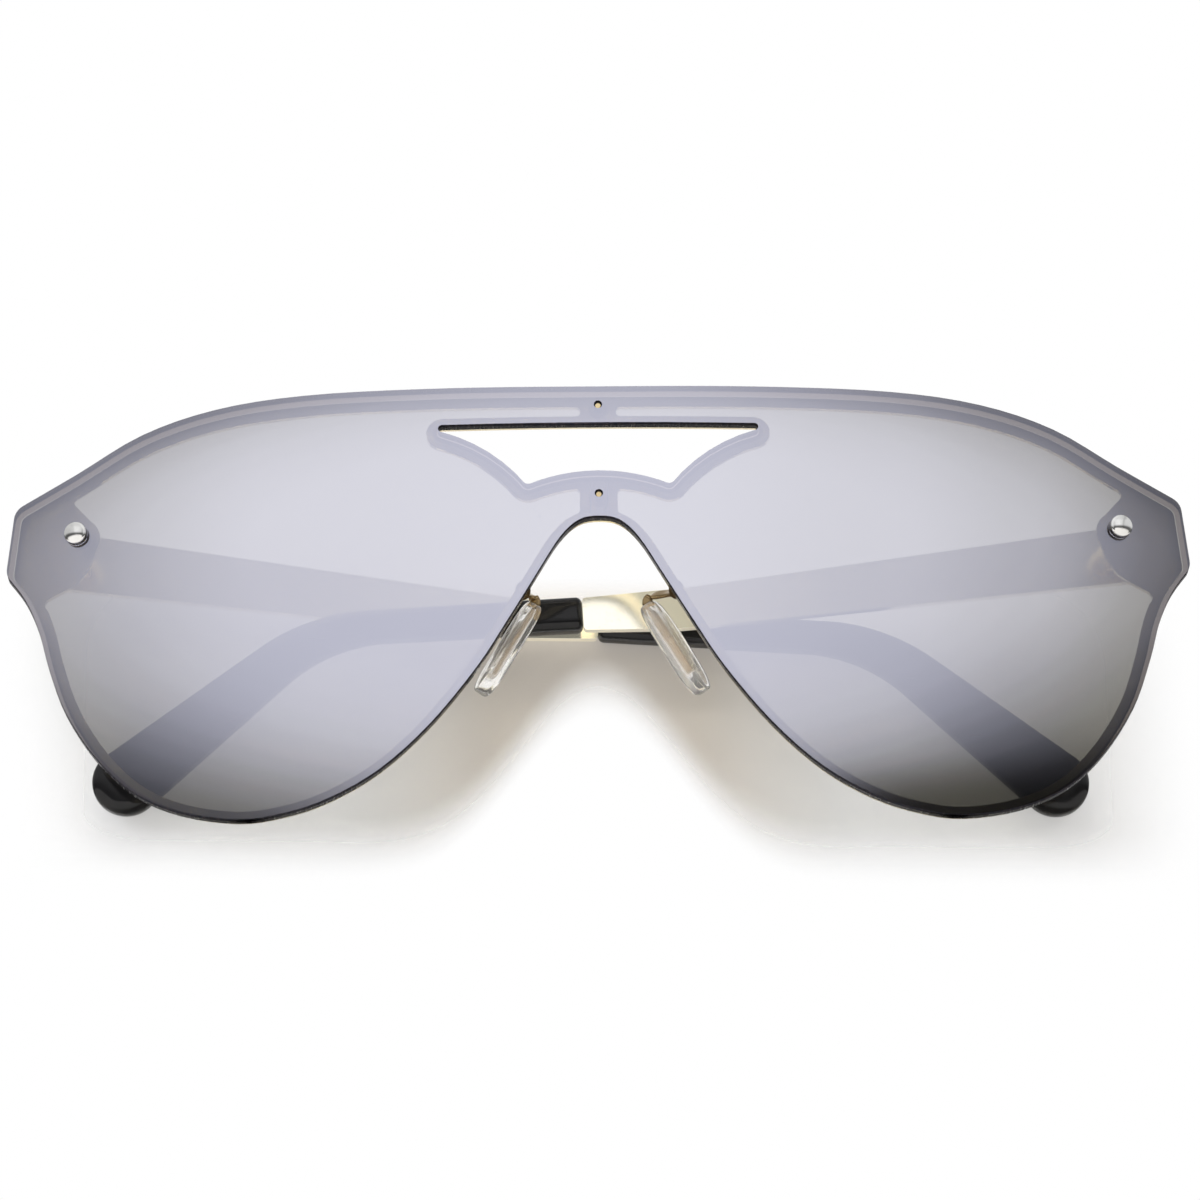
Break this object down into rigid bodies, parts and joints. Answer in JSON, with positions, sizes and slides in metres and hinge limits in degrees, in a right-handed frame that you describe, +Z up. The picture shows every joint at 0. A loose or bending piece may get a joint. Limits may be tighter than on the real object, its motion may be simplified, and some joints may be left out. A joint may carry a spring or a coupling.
{
  "type": "shield sunglasses",
  "caption": "Rimless mirrored shield sunglasses with a slanted brow window, a thin gold frame behind the lens, clear nose pads and folding metal temples with black bent tips.",
  "frame": {"origin": "on the plane that the feet of the lens's two lobes stand on, midway across the glasses and midway from the lens's front to the back of the folded temples", "axes": "+X to the viewer's right, along the lens; +Y from the lens back to the face; +Z up, as worn"},
  "size_m": [0.145, 0.024, 0.0543],
  "materials": {
    "lens": "mirror coated, half see-through",
    "frame_gold": "polished gold plating",
    "stud_chrome": "polished",
    "washer_steel": "plain",
    "nut_brass": "plain",
    "arm_gold": "gold plating, brown in the shade",
    "pad_clear": "clear and soft",
    "hinge_gold": "gold plating",
    "screw_steel": "plain",
    "bar_gold": "polished gold plating",
    "sleeve_black": "glossy moulded plastic"
  },
  "bodies": {
    "front": {"lens": "lens", "front_frame": "frame_gold", "centre_pin_upper": "nut_brass", "centre_pin_lower": "nut_brass", "stud_left": "stud_chrome", "stud_washer_left": "washer_steel", "stud_nut_left": "nut_brass", "pad_arm_left": "arm_gold", "nose_pad_left": "pad_clear", "front_hinge_left": "hinge_gold", "hinge_screw_left": "screw_steel", "stud_right": "stud_chrome", "stud_washer_right": "washer_steel", "stud_nut_right": "nut_brass", "pad_arm_right": "arm_gold", "nose_pad_right": "pad_clear", "front_hinge_right": "hinge_gold", "hinge_screw_right": "screw_steel"},
    "temple_left": {"temple_left": "bar_gold", "temple_tip_left": "sleeve_black", "temple_hinge_left": "hinge_gold"},
    "temple_right": {"temple_right": "bar_gold", "temple_tip_right": "sleeve_black", "temple_hinge_right": "hinge_gold"}
  },
  "joints": [
    {"name": "right_temple_fold", "type": "hinge", "parent": "front", "child": "temple_right", "pos_m": [0.0678, 0.00111, 0.03787], "axis": [0, 0, -1], "range_deg": [0, 93]},
    {"name": "left_temple_fold", "type": "hinge", "parent": "front", "child": "temple_left", "pos_m": [-0.0678, 0.00111, 0.03787], "axis": [0, 0, 1], "range_deg": [0, 90]}
  ]
}
